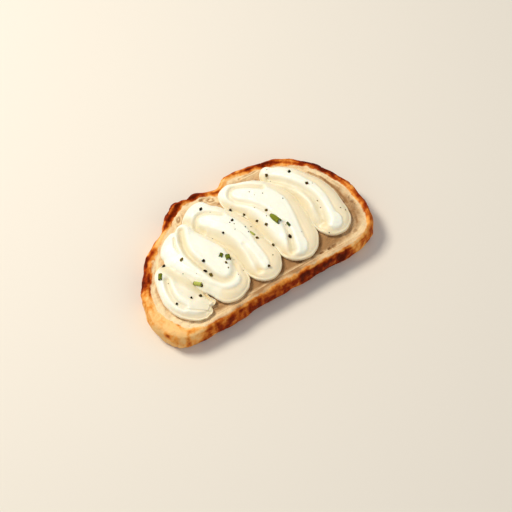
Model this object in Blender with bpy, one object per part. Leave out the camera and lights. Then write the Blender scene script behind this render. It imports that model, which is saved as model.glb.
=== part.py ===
"""Mozzarella toast: a toasted slice of country bread under five curls of soft white cheese.

Metres, +Z up. The slice lies flat, with its long side along X, its straight crust towards -Y and its
domed crust towards +Y. The origin is the middle of the slice's box, on the surface that it lies on.
Curl 1 is at the right end of the slice and curl 5 at the left end. The shapes below are drawn in
millimetres on a plan of the slice, and scaled from there to the driving dimensions.
"""
import math
import random

import bmesh
import bpy
import numpy as np

# Driving dimensions, in metres
SLICE_LENGTH = 0.158
SLICE_DEPTH = 0.086
SLICE_THICKNESS = 0.018
CURL_HEIGHT = 0.0088
GAP = 0.0003

# The drawn plan and profile
PLAN_LENGTH = 158.0
PLAN_DEPTH = 86.0
PLAN_THICKNESS = 18.0
PLAN_UNIT = SLICE_LENGTH / PLAN_LENGTH

# The crust's outer edge on the plan, anticlockwise from the right end: the domed top crust with its
# notch, the burst ear, the slanting left end, and the straight lower crust
CRUST_PLAN = [
    (78.2, -13), (77, -3), (71.5, 9.5), (63.5, 21.2), (53.5, 31), (42, 37.3), (29, 39.9), (17, 42),
    (8.5, 42), (2, 37.4), (-4, 39), (-12, 42), (-21, 42.3), (-30, 41.2), (-38, 36.5), (-44, 29.8),
    (-54, 24.3), (-62.5, 17.5), (-71, 7), (-77, -3), (-79.8, -17), (-78, -28), (-72, -38.5),
    (-62, -42.7), (-42, -42.6), (-10, -41.8), (25, -42.2), (52, -43.5), (66, -41.3), (74.5, -35.5),
    (77.8, -25),
]
# Knobs and dips of the burst ear: place on the plan, how far they stand out, how wide they are
EAR_KNOBS = [(-36.5, 37.5, 0.6, 3.0), (-29, 41.5, 0.8, 3.5), (-18, 42, -1.4, 1.8), (-12.5, 42, 0.5, 2.5)]
# The burst ear stands up over the rim: place on the plan, reach and lift
EAR_PLACE = (-28, 40)
EAR_REACH = 11.0
EAR_LIFT = 1.3

# The crust in section, from the underside to the crumb: inset from the outer edge, and height
CRUST_SECTION = [
    (2.6, 0.0), (0.9, 0.7), (0.25, 3.0), (0.0, 8.0), (0.2, 12.5), (0.8, 15.8), (1.8, 17.4), (2.9, 18.0),
    (4.0, 17.5), (5.2, 17.0),
]
SHOULDER_FROM = 12.5
RIM_INSET = 2.9
CRUMB_HEIGHT = 17.0
# Where the shoulder of the crust is broader: place on the plan, extra share, and reach
BROAD_SHOULDERS = [(-76, -34, 0.75, 24), (-66, 14, 0.45, 22)]
# How far the crumb's rings lie towards the middle of the slice, the last one being the middle
CRUMB_RINGS = [0.05, 0.11, 0.19, 0.32, 0.52, 0.76, 1.0]

# Dents of the open crumb: two crossing waves, each by its direction and length, and their depth
CRUMB_WAVES = [((0.9, 0.5), 11.0), ((-0.45, 0.85), 8.0)]
CRUMB_DENT = 0.6

# Crags of the crust: waves around the slice, waves up its side, phase, and depth
CRAGS = [(9, 0.3, 0.10, 0.30), (17, -0.8, 0.55, 0.26), (29, 1.1, 0.80, 0.20), (43, -1.6, 0.35, 0.14)]

# A curl's lip: it is widest at LIP_HEIGHT above the crumb, and tucked in below
LIP_HEIGHT = 2.4
LIP_TUCK = 1.5
DOME_POWER = 2.7
DOME_ROUNDNESS = 1 / 1.7
# The curl's rings from its widest line to its spine, as shares of its half-width
CURL_RINGS = [1.0, 0.975, 0.93, 0.86, 0.76, 0.64, 0.5, 0.36, 0.2, 0.0]
FOOT_RINGS = [(LIP_TUCK, 0.0), (0.5, 0.8)]

# Each curl has stations from its far end to its near end: place on the plan, half-width to the west,
# half-width to the east, and crest height as a share of CURL_HEIGHT. Its caps are the lengths of its
# round ends, far and near. Its knobs swell or notch its edge: place on the plan, how far, how wide.
# A groove is a path on the plan, its half-width and its depth, each given at its start and its end.
# over names the neighbour that lies on this curl's edge.
CURLS = {
    "cheese_curl_1": {
        "stations": [(34.5, 26.2, 7, 5.5, 0.66), (43, 18, 12, 8.5, 0.88), (50, 7.5, 14, 10.8, 0.95),
                     (53.5, -6, 15.5, 13.5, 0.96), (53.3, -19.5, 14, 13.5, 0.9)],
        "caps": (6, 13.5),
        "knobs": [(40, 29, -0.6, 4), (63, 6, 0.5, 5)],
        "grooves": [
            ([(36.2, 20.7), (42.4, 12.7), (47.5, 2), (49.7, -10), (49.6, -18), (48.4, -24.5)],
             (1.3, 2.7), (1.2, 2.8)),
        ],
        "over": "cheese_curl_2",
    },
    "cheese_curl_2": {
        "stations": [(8, 25, 12, 9, 0.72), (19, 17, 18, 12, 0.95), (24.5, 5, 19.5, 15, 1.0),
                     (26, -8, 19, 14.5, 0.98), (25.2, -21.5, 14.5, 14, 0.9)],
        "caps": (9.5, 14.5),
        "knobs": [(-3, 31, 1.2, 5), (13, 36, -0.8, 4)],
        "grooves": [
            ([(17.5, -28), (18.6, -19), (20.1, -10), (19.4, -1), (16.6, 7), (11, 14.5), (5.6, 20.5),
              (4.6, 25.5), (8.8, 28.8), (16, 26), (25, 19)], (1.8, 1.6), (2.2, 1.6)),
            ([(23.6, -13), (23.3, -19), (21.4, -25)], (1.3, 1.6), (1.0, 1.4)),
        ],
        "over": "cheese_curl_3",
    },
    "cheese_curl_3": {
        "stations": [(-20, 22.5, 14, 10.5, 0.74), (-10.5, 13, 15, 10, 0.95), (-4, 1, 16, 11.5, 1.0),
                     (-1.5, -11, 14, 10.5, 0.97), (-1, -23.5, 12.5, 12, 0.9)],
        "caps": (9.5, 12.5),
        "knobs": [(-12, 31, 0.8, 4), (-29, 26.5, 0.8, 4)],
        "grooves": [
            ([(-22.5, 13), (-24, 18.5), (-20.6, 23.2), (-14.4, 22.4), (-6.5, 16)], (1.5, 1.4), (1.8, 1.2)),
            ([(-6.6, -8), (-6.4, -17), (-6.4, -27)], (1.7, 2.2), (0.7, 1.5)),
        ],
        "over": "cheese_curl_4",
    },
    "cheese_curl_4": {
        "stations": [(-37, 14, 15.5, 11, 0.80), (-34.7, 4, 19, 15.3, 1.0), (-31, -8, 17.5, 18, 1.0),
                     (-28, -18, 15, 16, 0.96), (-26.5, -25, 12.5, 13.5, 0.9)],
        "caps": (10, 12),
        "knobs": [(-30, 24.5, 3.2, 5), (-37.5, 24.5, -1.4, 2.2), (-53, 14, 0.8, 4)],
        "grooves": [
            ([(-34.5, 22), (-37, 15), (-39.7, 5), (-36.5, -4), (-33.6, -12), (-31.5, -19),
              (-27, -24.5), (-20.5, -24.5)], (1.9, 3.0), (3.0, 1.2)),
            ([(-40, 18), (-42.2, 13), (-42.7, 7.5)], (0.9, 0.9), (0.8, 0.6)),
        ],
        "over": None,
    },
    "cheese_curl_5": {
        "stations": [(-55.4, -1, 9.2, 12, 0.80), (-56, -11.5, 11.6, 14, 0.9), (-53.6, -20, 13, 13, 0.9),
                     (-49, -26.5, 11.5, 10, 0.8), (-45.6, -30.2, 7, 5, 0.62)],
        "caps": (8.7, 3.0),
        "knobs": [(-43, -31.8, -1.3, 1.3), (-41.8, -34, 1.0, 1.6), (-66, 0, 0.5, 3)],
        "grooves": [
            ([(-59.1, -3.5), (-59.9, -8), (-61, -12.5)], (2.2, 1.8), (1.3, 0.8)),
            ([(-60, -24), (-54.5, -28.6), (-45.6, -33.6)], (0.9, 0.8), (0.8, 1.0)),
        ],
        "over": "cheese_curl_4",
    },
}
# A curl dips where its neighbour lies on it
DIP_DEPTH = 2.0
DIP_WIDTH = 3.2

# Coarse pepper on each curl: places on the plan
PEPPER = {
    "cheese_curl_1": [(46.5, 19.7), (50.8, 6.5)],
    "cheese_curl_2": [(19.7, 5.2), (7.8, 10.9), (1.8, 18.6), (11.2, 2.3), (14.2, -3.6), (25.7, -11.6),
                      (12.6, -16.4)],
    "cheese_curl_3": [(-3, 9.3), (-11.9, 5.4), (4, -9), (0, -29), (-15.5, 26.6)],
    "cheese_curl_4": [(-43, 3.1), (-47.6, 18.3), (-32.7, -5), (-35, -10.6), (-32.9, -14.3),
                      (-40.6, -16.6), (-21.2, -12.9)],
    "cheese_curl_5": [(-46.6, -23.4), (-51.2, -21.4), (-60.3, -19.9)],
}
PEPPER_RADII = (0.75, 1.0)
PEPPER_SEED = 7
# Chopped chives on each curl: place on the plan, length, bearing in degrees from +X, and radius
CHIVES = {
    "cheese_curl_2": [(20, -4.4, 7.4, -63, 1.4), (26.2, -16.6, 2.4, 20, 0.8)],
    "cheese_curl_4": [(-21.8, -7.2, 2.6, 40, 1.0), (-18.4, -10.4, 3.0, 75, 1.3), (-42.5, -13.4, 4.4, -40, 1.1)],
    "cheese_curl_5": [(-60.4, 0.8, 4.0, -70, 1.1)],
}

# Base colour, roughness and metallic value of each material
FINISHES = {
    "toasted_bread": ((0.42, 0.17, 0.055), 0.85, 0.0),
    "soft_cheese": ((0.93, 0.88, 0.74), 0.35, 0.0),
    "pepper": ((0.035, 0.025, 0.018), 0.8, 0.0),
    "chive": ((0.16, 0.24, 0.03), 0.55, 0.0),
}


def smooth_path(points, steps, closed=False):
    """Catmull-Rom curve through the rows of points, with steps samples from each row to the next."""
    rows = np.array(points, float)
    if closed:
        rows = np.vstack([rows[-1:], rows, rows[:2]])
    else:
        rows = np.vstack([2 * rows[0] - rows[1], rows, 2 * rows[-1] - rows[-2]])
    share = (np.arange(steps) / steps)[:, None]
    spans = []
    for a, b, c, d in zip(rows, rows[1:], rows[2:], rows[3:]):
        bend = (c - a) * share + (2 * a - 5 * b + 4 * c - d) * share**2 + (3 * b - a - 3 * c + d) * share**3
        spans.append(b + bend / 2)
    if not closed:
        spans.append(rows[-2:-1])
    return np.vstack(spans)


def even_loop(points, count):
    """The closed line through points, sampled at count places an equal way apart."""
    closed = np.vstack([points, points[:1]])
    way = np.concatenate([[0], np.cumsum(np.linalg.norm(np.diff(closed, axis=0), axis=1))])
    places = np.arange(count) / count * way[-1]
    return np.column_stack([np.interp(places, way, closed[:, 0]), np.interp(places, way, closed[:, 1])])


def crust_frame(count):
    """The crust's outer edge, its outward directions, and each sample's share of the way round."""
    edge = even_loop(smooth_path(CRUST_PLAN, 16, closed=True), count)
    middle = (edge.min(axis=0) + edge.max(axis=0)) / 2
    scale = np.array([PLAN_LENGTH, PLAN_DEPTH]) / np.ptp(edge, axis=0)
    edge = (edge - middle) * scale
    along = np.roll(edge, -1, axis=0) - np.roll(edge, 1, axis=0)
    along /= np.linalg.norm(along, axis=1)[:, None]
    outward = np.column_stack([along[:, 1], -along[:, 0]])
    return edge, outward, np.arange(count) / count


def plan_to_slice(points):
    """Moves places on the drawn plan by the same amount as crust_frame moves the crust."""
    edge = smooth_path(CRUST_PLAN, 16, closed=True)
    middle = (edge.min(axis=0) + edge.max(axis=0)) / 2
    scale = np.array([PLAN_LENGTH, PLAN_DEPTH]) / np.ptp(edge, axis=0)
    return (np.asarray(points, float) - middle) * scale


def bell(places, middle, reach):
    """1 at a middle drawn on the plan, falling to nothing a little past reach, at each of the places."""
    gap = np.linalg.norm(places - plan_to_slice(middle), axis=1)
    return np.exp(-(gap / reach) ** 2)


def knob_push(places, knobs):
    """The sum of the knobs' heights, each spread as a bell about its place."""
    total = np.zeros(len(places))
    for x, y, height, reach in knobs:
        total += height * bell(places, (x, y), reach)
    return total


def crumb_dents(places):
    """How deep the crumb is dented at the places: where the crests of two crossing waves meet."""
    crossing = np.ones(len(places))
    for direction, length in CRUMB_WAVES:
        crossing *= np.sin(2 * math.pi * (places @ np.array(direction)) / length)
    return CRUMB_DENT * np.clip(crossing, 0, 1)


def crags(share, height):
    """Ups and downs of the crust's side, in plan millimetres, round the slice and up its side."""
    total = np.zeros_like(share)
    for around, up, phase, depth in CRAGS:
        total += depth * np.sin(2 * math.pi * (around * share + up * height / PLAN_THICKNESS + phase))
    return total


def bread_rings(count):
    """Closed rings of the slice, from its underside up the crust and over the rim to the middle."""
    edge, outward, share = crust_frame(count)
    knobs = knob_push(edge, EAR_KNOBS)
    lift = EAR_LIFT * bell(edge, EAR_PLACE, EAR_REACH)
    shoulder = 1 + knob_push(edge, BROAD_SHOULDERS)
    rings = []
    for inset, height in CRUST_SECTION:
        rim = np.clip((height - SHOULDER_FROM) / (PLAN_THICKNESS - SHOULDER_FROM), 0, 1)
        spread = inset * (1 + (shoulder - 1) * rim)
        side = np.exp(-spread / 2.5) * np.clip(height / 2, 0, 1)
        ring = edge + outward * ((knobs + crags(share, height)) * side - spread)[:, None]
        inside = np.exp(-np.clip(inset - RIM_INSET, 0, None) ** 2)
        rings.append(np.column_stack([ring, height + lift * rim * inside]))
    inner = rings[-1]
    for towards in CRUMB_RINGS:
        ring = inner[:, :2] * (1 - towards)
        height = CRUMB_HEIGHT + (inner[:, 2] - CRUMB_HEIGHT) * (1 - towards) - crumb_dents(ring)
        rings.append(np.column_stack([ring, height]))
    return [ring * (PLAN_UNIT, SLICE_DEPTH / PLAN_DEPTH, SLICE_THICKNESS / PLAN_THICKNESS) for ring in rings]


def curl_frame(curl, side_steps, cap_steps):
    """Points on the spine and the reach from each to the widest line, once round the curl.

    The way round is anticlockwise: down the west side, round the near end, up the east side and
    round the far end. The third result is the crest's height over the crumb at each sample.
    """
    rows = smooth_path(curl["stations"], side_steps)
    spine, west, east, crest = plan_to_slice(rows[:, :2]), rows[:, 2], rows[:, 3], rows[:, 4]
    along = np.gradient(spine, axis=0)
    along /= np.linalg.norm(along, axis=1)[:, None]
    to_west = np.column_stack([along[:, 1], -along[:, 0]])
    turn = np.arange(1, cap_steps) / cap_steps * math.pi
    across, ahead = np.cos(turn)[:, None], np.sin(turn)[:, None]
    far_cap, near_cap = curl["caps"]
    near_reach = np.where(across > 0, west[-1], east[-1]) * across * to_west[-1] + near_cap * ahead * along[-1]
    far_reach = -np.where(across > 0, east[0], west[0]) * across * to_west[0] - far_cap * ahead * along[0]
    ends = np.ones((cap_steps - 1, 1))
    base = np.vstack([spine, ends * spine[-1], spine[::-1], ends * spine[0]])
    reach = np.vstack([to_west * west[:, None], near_reach, -(to_west * east[:, None])[::-1], far_reach])
    crests = np.concatenate([crest, ends[:, 0] * crest[-1], crest[::-1], ends[:, 0] * crest[0]])
    push = knob_push(base + reach, curl["knobs"])
    reach = reach * (1 + push / np.linalg.norm(reach, axis=1))[:, None]
    return base, reach, crests * CURL_HEIGHT / PLAN_UNIT


def nearest(places, path):
    """For each of the places, its distance from the path, and how far along the path that is."""
    gaps = np.linalg.norm(places[:, None] - path[None], axis=2)
    return gaps.min(axis=1), gaps.argmin(axis=1) / (len(path) - 1)


def hollows(curl, places):
    """How far the grooves and the neighbour's weight push the curl's top down at the places."""
    total = np.zeros(len(places))
    for path, widths, depths in curl["grooves"]:
        gap, way = nearest(places, smooth_path(plan_to_slice(path), 10))
        width = widths[0] + (widths[1] - widths[0]) * way
        depth = depths[0] + (depths[1] - depths[0]) * way
        total += depth * np.exp(-(gap / width) ** 2)
    if curl["over"]:
        base, reach, _ = curl_frame(CURLS[curl["over"]], 12, 8)
        gap, _ = nearest(places, base + reach)
        total += DIP_DEPTH * np.exp(-(gap / DIP_WIDTH) ** 2)
    return total


def curl_rings(curl):
    """Closed rings of one curl, from its foot on the crumb over its lip to its spine."""
    base, reach, crest = curl_frame(curl, 5, 9)
    width = np.linalg.norm(reach, axis=1)[:, None]
    floor = CRUMB_HEIGHT + GAP / PLAN_UNIT
    rings = []
    for tuck, height in FOOT_RINGS:
        ring = base + reach * (1 - tuck / width)
        rings.append(np.column_stack([ring, np.full(len(ring), floor + height)]))
    for share in CURL_RINGS:
        ring = base + reach * share
        dome = (1 - share**DOME_POWER) ** DOME_ROUNDNESS
        edge_fade = np.clip((1 - share) / 0.12, 0, 1)
        height = floor + LIP_HEIGHT + (crest - LIP_HEIGHT) * dome - hollows(curl, ring) * edge_fade
        rings.append(np.column_stack([ring, height]))
    return [ring * PLAN_UNIT for ring in rings]


def finish(name):
    """A Principled material with the finish of that name."""
    colour, roughness, metallic = FINISHES[name]
    material = bpy.data.materials.get(name) or bpy.data.materials.new(name)
    material.use_nodes = True
    shader = material.node_tree.nodes["Principled BSDF"]
    shader.inputs["Base Color"].default_value = (*colour, 1)
    shader.inputs["Roughness"].default_value = roughness
    shader.inputs["Metallic"].default_value = metallic
    return material


def add_object(name, mesh, material, collection):
    """Makes an object from a bmesh, shaded smooth, in the collection."""
    data = bpy.data.meshes.new(name)
    mesh.to_mesh(data)
    mesh.free()
    data.materials.append(finish(material))
    data.shade_smooth()
    thing = bpy.data.objects.new(name, data)
    collection.objects.link(thing)
    return thing


def loft(rings, flat_top=False):
    """A closed skin over rings of points that run anticlockwise, from the lowest ring upwards."""
    mesh = bmesh.new()
    rows = [[mesh.verts.new(point) for point in ring] for ring in rings]
    mesh.faces.new(rows[0][::-1])
    for lower, upper in zip(rows, rows[1:]):
        for i, corner in enumerate(lower):
            mesh.faces.new((lower[i - 1], corner, upper[i], upper[i - 1]))
    if flat_top:
        mesh.faces.new(rows[-1])
    bmesh.ops.remove_doubles(mesh, verts=mesh.verts, dist=1e-6)
    bmesh.ops.triangulate(mesh, faces=[face for face in mesh.faces if len(face.verts) == 4])
    return mesh


def apply_modifiers(thing):
    """Replaces the object's mesh by the one that its modifiers make."""
    shape = thing.evaluated_get(bpy.context.evaluated_depsgraph_get())
    data = bpy.data.meshes.new_from_object(shape)
    thing.modifiers.clear()
    thing.data = data
    bpy.context.view_layer.update()


def make_cutter(name, collection):
    """An upright prism over a curl's widest line, one gap wider, that trims what lies under it."""
    base, reach, _ = curl_frame(CURLS[name], 5, 9)
    width = np.linalg.norm(reach, axis=1)[:, None]
    plan = (base + reach * (1 + 1.2 * GAP / PLAN_UNIT / width)) * PLAN_UNIT
    low = np.column_stack([plan, np.full(len(plan), 0.5 * SLICE_THICKNESS)])
    high = np.column_stack([plan, np.full(len(plan), 3 * SLICE_THICKNESS)])
    cutter = add_object(name + "_cutter", loft([low, high], flat_top=True), "soft_cheese", collection)
    cutter.hide_render = True
    cutter.display_type = "WIRE"
    return cutter


def surface_point(thing, x, y):
    """The point on top of the object at a place on the plan, and its normal."""
    place = plan_to_slice([(x, y)])[0] * PLAN_UNIT
    hit, point, normal, _ = thing.ray_cast((*place, 0.1), (0, 0, -1))
    if not hit:
        raise ValueError(f"nothing of {thing.name} lies at {x}, {y}")
    return point, normal


def add_toppings(thing, collection):
    """Fuses the pepper and the chives that lie on a curl to it."""
    draw = random.Random(PEPPER_SEED + int(thing.name[-1]))
    for number, (x, y) in enumerate(PEPPER.get(thing.name, [])):
        point, normal = surface_point(thing, x, y)
        grain = bmesh.new()
        bmesh.ops.create_icosphere(grain, subdivisions=1, radius=draw.uniform(*PEPPER_RADII) * PLAN_UNIT)
        fleck = add_object(f"fleck_{number}", grain, "pepper", collection)
        fleck.scale = (draw.uniform(1.0, 1.3), draw.uniform(0.8, 1.0), 0.8)
        fleck.rotation_euler = (draw.uniform(-0.3, 0.3), draw.uniform(-0.3, 0.3), draw.uniform(0, math.pi))
        fleck.location = point + normal * 0.15 * PLAN_UNIT
    for number, (x, y, length, bearing, radius) in enumerate(CHIVES.get(thing.name, [])):
        point, normal = surface_point(thing, x, y)
        rod = bmesh.new()
        bmesh.ops.create_cone(rod, cap_ends=True, segments=8, radius1=radius * PLAN_UNIT,
                              radius2=radius * PLAN_UNIT, depth=length * PLAN_UNIT)
        chive = add_object(f"chive_{number}", rod, "chive", collection)
        turn = math.radians(bearing)
        lengthways = normal.cross((-math.sin(turn), math.cos(turn), 0)) * -1
        chive.rotation_mode = "QUATERNION"
        chive.rotation_quaternion = lengthways.to_track_quat("Z", "Y")
        chive.location = point + normal * 0.35 * radius * PLAN_UNIT
    bpy.context.view_layer.update()
    union = thing.modifiers.new("toppings", "BOOLEAN")
    union.operation = "UNION"
    union.operand_type = "COLLECTION"
    union.collection = collection
    union.solver = "EXACT"
    union.material_mode = "TRANSFER"
    apply_modifiers(thing)
    for topping in list(collection.objects):
        bpy.data.objects.remove(topping, do_unlink=True)


def make_curl(name, toast, cutters, loose):
    """One curl of cheese, trimmed by the neighbour that lies on it, with its toppings."""
    curl = CURLS[name]
    thing = add_object(name, loft(curl_rings(curl)), "soft_cheese", toast)
    if curl["over"]:
        trim = thing.modifiers.new("trim", "BOOLEAN")
        trim.operation = "DIFFERENCE"
        trim.object = cutters.objects[curl["over"] + "_cutter"]
        trim.solver = "EXACT"
        apply_modifiers(thing)
    bpy.context.view_layer.update()
    add_toppings(thing, loose)
    return thing


def main():
    for thing in list(bpy.data.objects):
        bpy.data.objects.remove(thing, do_unlink=True)
    toast, cutters, loose = [bpy.data.collections.new(name) for name in ("mozzarella_toast", "cutters", "loose")]
    for collection in (toast, cutters, loose):
        bpy.context.scene.collection.children.link(collection)
    add_object("bread", loft(bread_rings(132)), "toasted_bread", toast)
    for name in ("cheese_curl_2", "cheese_curl_3", "cheese_curl_4"):
        make_cutter(name, cutters)
    bpy.context.view_layer.update()
    for name in sorted(CURLS):
        make_curl(name, toast, cutters, loose)


main()
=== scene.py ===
"""The looks of the mozzarella toast: a toasted slice of country bread, five curls of soft white cheese,
cracked pepper and chopped chives.

The tables below are in millimetres, as the solids are drawn. Each surface is a set of rings of points,
worked out as whole arrays: a ring runs anticlockwise seen from above, and the rings follow the skin
outwards over the underside, up the side and inwards over the top.
"""
import math

import bmesh
import bpy
import numpy as np
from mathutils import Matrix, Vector
from mathutils.bvhtree import BVHTree


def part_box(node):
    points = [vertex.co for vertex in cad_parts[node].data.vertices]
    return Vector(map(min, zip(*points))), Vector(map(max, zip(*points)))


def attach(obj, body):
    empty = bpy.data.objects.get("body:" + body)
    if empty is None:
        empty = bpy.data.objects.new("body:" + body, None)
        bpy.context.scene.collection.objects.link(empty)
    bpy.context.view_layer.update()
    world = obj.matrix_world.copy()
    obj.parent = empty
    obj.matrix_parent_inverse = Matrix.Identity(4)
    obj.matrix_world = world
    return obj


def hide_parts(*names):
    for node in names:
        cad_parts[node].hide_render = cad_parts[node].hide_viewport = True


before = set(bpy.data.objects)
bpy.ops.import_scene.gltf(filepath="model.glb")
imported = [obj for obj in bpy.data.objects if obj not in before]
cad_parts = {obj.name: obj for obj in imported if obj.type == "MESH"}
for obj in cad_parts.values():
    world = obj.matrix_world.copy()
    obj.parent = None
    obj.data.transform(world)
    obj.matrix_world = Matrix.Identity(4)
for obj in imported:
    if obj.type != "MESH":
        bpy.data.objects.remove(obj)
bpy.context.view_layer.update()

# The drawn plan and profile, in millimetres
PLAN_LENGTH = 158.0
PLAN_DEPTH = 86.0
PLAN_THICKNESS = 18.0
CURL_HEIGHT = 8.8
MILLIMETRE = 0.001

# The crust's outer edge on the plan, anticlockwise from the right end: the domed top crust with its
# notch, the burst ear, the slanting left end, and the straight lower crust
CRUST_PLAN = [
    (78.2, -13), (77, -3), (71.5, 9.5), (63.5, 21.2), (53.5, 31), (42, 37.3), (29, 39.9), (17, 42),
    (8.5, 42), (2, 37.4), (-4, 39), (-12, 42), (-21, 42.3), (-30, 41.2), (-38, 36.5), (-44, 29.8),
    (-54, 24.3), (-62.5, 17.5), (-71, 7), (-77, -3), (-79.8, -17), (-78, -28), (-72, -38.5),
    (-62, -42.7), (-42, -42.6), (-10, -41.8), (25, -42.2), (52, -43.5), (66, -41.3), (74.5, -35.5),
    (77.8, -25),
]
# Knobs and dips of the outer edge: of the ear, and the low swell of the lower crust
EDGE_KNOBS = [
    (-36.5, 37.5, 0.6, 3.0), (-32.5, 40.5, -0.5, 1.2), (-28, 41.5, 0.8, 3.5), (-18.5, 42, -2.2, 1.7),
    (-12.5, 42, 0.5, 2.5), (-34, -42.5, 1.5, 14), (-8, -42, 1.2, 13), (14, -42.4, 1.2, 12),
    (30, -42.6, 0.8, 9),
]
EAR_PLACE = (-28, 40)
EAR_REACH = 11.0
EAR_LIFT = 1.3

# The crust in section, from the underside to the crumb: inset from the outer edge, and height
CRUST_SECTION = [
    (2.6, 0.0), (0.9, 0.7), (0.25, 3.0), (0.0, 8.0), (0.2, 12.5), (0.8, 15.8), (1.8, 17.4), (2.9, 18.0),
    (4.0, 17.5), (5.2, 17.0),
]
SHOULDER_FROM = 12.5
RIM_INSET = 2.9
CRUMB_HEIGHT = 17.0
# Where the shoulder is broader: place on the plan, by what share, and the reach
BROAD_SHOULDERS = [(-76, -34, 0.75, 24), (-66, 14, 0.45, 22)]
# Waves of the crust's side: how many round the slice, turns on the way up, phase, and depth
CRAGS = [(9, 0.3, 0.10, 0.30), (17, -0.8, 0.55, 0.26), (29, 1.1, 0.80, 0.20), (43, -1.6, 0.35, 0.14)]
# Waves that cross in the crumb: direction and length
CRUMB_WAVES = [((0.9, 0.5), 11.0), ((-0.45, 0.85), 8.0)]
CRUMB_DENT = 0.6

# The bread's layered noises: size of the largest lumps, octaves and seed
SKIN_LUMPS = (5.0, 4, 11)
BURST_LUMPS = (2.6, 2, 13)
RIM_LUMPS = (3.2, 3, 41)
CRUMB_GRAIN = (2.4, 3, 61)
RAGGED_EDGE = (5.0, 4, 81)
BAKE_CLOUDS = (11.0, 2, 91)
UPRIGHT_STROKES = (3.4, 3, 95)
CRUMB_CLOUDS = (7.0, 2, 97)
SHORT_STROKES = (5.0, 3, 99)
RIM_FLECKS = (3.8, 3, 105)
# Its plain noises: size of the lumps and seed
CRACK_LINES = (6.5, 31)
CRACKED_PARTS = (14.0, 37)
RIM_SWELLS = (9.0, 45)
LAYER_BENDS = (11.0, 57)
LAYER_LINES = (1.0, 59)
LAYERED_PARTS = (13.0, 63)
WHORL_BENDS = (4.0, 67)
RIM_LINES = (1.1, 107)
# Its bubbles: size of their cubes, seed, and smallest and largest radius in cubes
BLISTERS = (5.5, 21, 0.12, 0.5)
CRUMB_PORES = (3.4, 51, 0.12, 0.62)
UNDER_PORES = (3.8, 71, 0.12, 0.6)
PORE_STEEPNESS = 2.2
# How far each of them reaches out of the bread or into it
SKIN_HEIGHT = 0.30
BURST_HEIGHT = 0.6
BLISTER_HEIGHT = 0.35
CRACK_DEPTH = 0.5
RIM_HEIGHT = 0.30
GRAIN_DEPTH = 0.16
PORE_DEPTH = 1.1
UNDER_PORE_DEPTH = 0.8
LAYER_HEIGHT = 0.26

# Large open pores of the crumb: place on the plan, radius across, radius along, bearing, and depth
OPEN_PORES = [(-36, 30.5, 1.3, 2.6, 60, 1.9), (-43.5, 25.6, 0.8, 1.9, 35, 1.2), (-8, 34, 1.6, 4.6, -10, 1.1),
              (-30.5, 34.5, 0.9, 2.4, 25, 1.0), (71, -18, 1.0, 2.0, 85, 0.9), (8, -37.3, 1.0, 1.8, 0, 0.9),
              (-14, -36.8, 0.8, 2.2, 8, 0.9), (34.5, -36.6, 0.9, 2.0, -8, 0.8)]

# How brown the crust is baked, from 0, pale gold, to 1, burnt: in the middle, what strokes, clouds, flecks
# and the line along the outer edge add, and what is added at places on the plan, with their reach
BAKE_MIDDLE = 0.50
UPRIGHT_BAKE = 0.28
SHORT_BAKE = 0.18
CLOUD_BAKE = 0.12
FLECK_BAKE = 0.22
EDGE_BAKE = 0.23
RIM_DASHES = 0.22
BAKE_PATCHES = [
    (-79, -26, -0.30, 14), (-71, -38, -0.33, 12), (-59, -42, 0.06, 8), (-43, -42, 0.06, 12),
    (-18, -42, 0.27, 18), (10, -42, 0.24, 18), (36, -43, 0.42, 15), (57, -42, -0.14, 7),
    (68, -39, -0.10, 11), (79, -14, 0.15, 12), (41, 37, 0.08, 7), (52, 30, -0.12, 7),
    (20, 42, -0.08, 9), (4, 38.5, -0.42, 8), (-13, 43, 0.46, 6), (-24, 42.5, 0.22, 7),
    (-34, 39, 0.28, 8), (-41, 32, 0.04, 6), (-50, 26, -0.46, 9), (68, 15, 0.42, 13),
    (-58.5, 19, 0.04, 5), (-63.5, 13, 0.12, 5), (-68, 6, 0.14, 5), (-70.5, 0, 0.14, 4.5),
    (-73, -6, 0.14, 4), (-82, -4, -0.55, 7), (-80, -12, -0.26, 8),
]
# The left corner, whose rim is paler, and how far that reaches
PALE_CORNER = (-74, -30)
CORNER_REACH = 18.0
CORNER_PALER = 0.26
# Where the rim's top is paler than the side below it, as it is along the whole lower crust
PALE_RIMS = [(-72, -26, 1.0, 17), (72, -6, 0.4, 11), (66, -33, 0.6, 10)]
PALE_RIM_BAKE = 0.26
PALE_RIM_SHARE = 0.8
FRONT_NARROWER = 1.9
# Where the crust is wider on top than elsewhere: place on the plan, by how much, and the reach
CRUST_WIDER = [
    (-32, 38, 3.8, 8), (-14, 41, 2.8, 5), (-70, -38, 3.4, 13), (-78, -12, 1.4, 12), (1, 37, 1.6, 6),
    (78, -20, 1.0, 16), (47, 35, 2.4, 20), (22, 42, 0.8, 12), (78, 0, 1.6, 12),
]
# The crumb's own brown: of the underside, of the crust's inner face, away from the crust, and paler
# on the crests of its layers
UNDER_BROWN = 0.5
SIDE_BROWN = 0.1
MIDDLE_BROWN = 0.55
LAYER_PALER = 0.55
# Where the crumb is browner than elsewhere, partly toasted and partly painted shadow of the curls along
# its front and right strips, how much of that shows at the rim, and the strokes there
CRUMB_TOAST_AND_SHADOW = [
    (64, -36, 0.25, 14), (69, -8, 0.52, 8.5), (68, -23, 0.39, 9), (40, -34, 0.85, 14), (16, -35, 1.2, 14),
    (-10, -35, 1.3, 14), (-34, -36, 0.75, 12), (-24, 34, 0.05, 16), (24, 36, 0.40, 14),
    (-66, -20, -0.28, 16),
]
RIM_BROWNER = 0.8
RIM_STROKES = 0.38
# A crack of the crumb beside the right curl: its path on the plan, half-width, depth, and painted shade
CREASE = [(58, 15.5), (62.7, 8.6), (64.9, 2.1), (66.3, -5.1), (67.2, -11.6), (67.0, -16)]
CREASE_STEPS = 10
CREASE_WIDTH = 0.4
CREASE_DEPTH = 0.9
CREASE_SHADE = 1.5
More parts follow.
